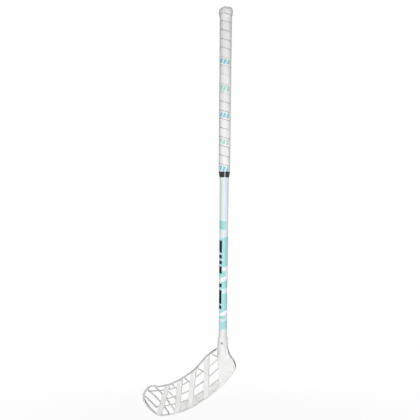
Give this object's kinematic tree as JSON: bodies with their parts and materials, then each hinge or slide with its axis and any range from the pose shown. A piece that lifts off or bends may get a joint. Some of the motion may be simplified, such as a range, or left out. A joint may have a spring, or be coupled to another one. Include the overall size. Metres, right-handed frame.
{
  "type": "floorball stick",
  "caption": "Floorball stick: slim tapered round shaft with a butt cap and a spiral wound grip at the top, and a hooked open lattice blade screwed on by its socket.",
  "frame": {"origin": "on the shaft's axis in the middle of the grip, at the mount hand_grip", "axes": "+Z along the shaft towards the butt; -X from the shaft towards the blade's toe; +Y the side that the toe hooks to, across the blade"},
  "size_m": [0.2465, 0.0464, 1.0319],
  "materials": {
    "shaft_lacquer": "clear lacquer over a printed film in white, mint and pale aqua",
    "cap_plastic": "moulded, satin",
    "liner_film": "thin double-sided adhesive film",
    "grip_tape": "soft polyurethane grip tape, matt, with small mint marks",
    "collar_rubber": "matt black rubber",
    "blade_plastic": "injection moulded polyethylene, satin and slightly translucent",
    "screw_steel": "dark zinc plated",
    "plug_plastic": "moulded"
  },
  "bodies": {
    "root": {"shaft_tube": "shaft_lacquer", "butt_cap": "cap_plastic", "grip_liner": "liner_film", "grip_tape": "grip_tape", "grip_collar": "collar_rubber", "blade": "blade_plastic", "blade_screws": "screw_steel", "tip_plug": "plug_plastic"}
  },
  "joints": []
}
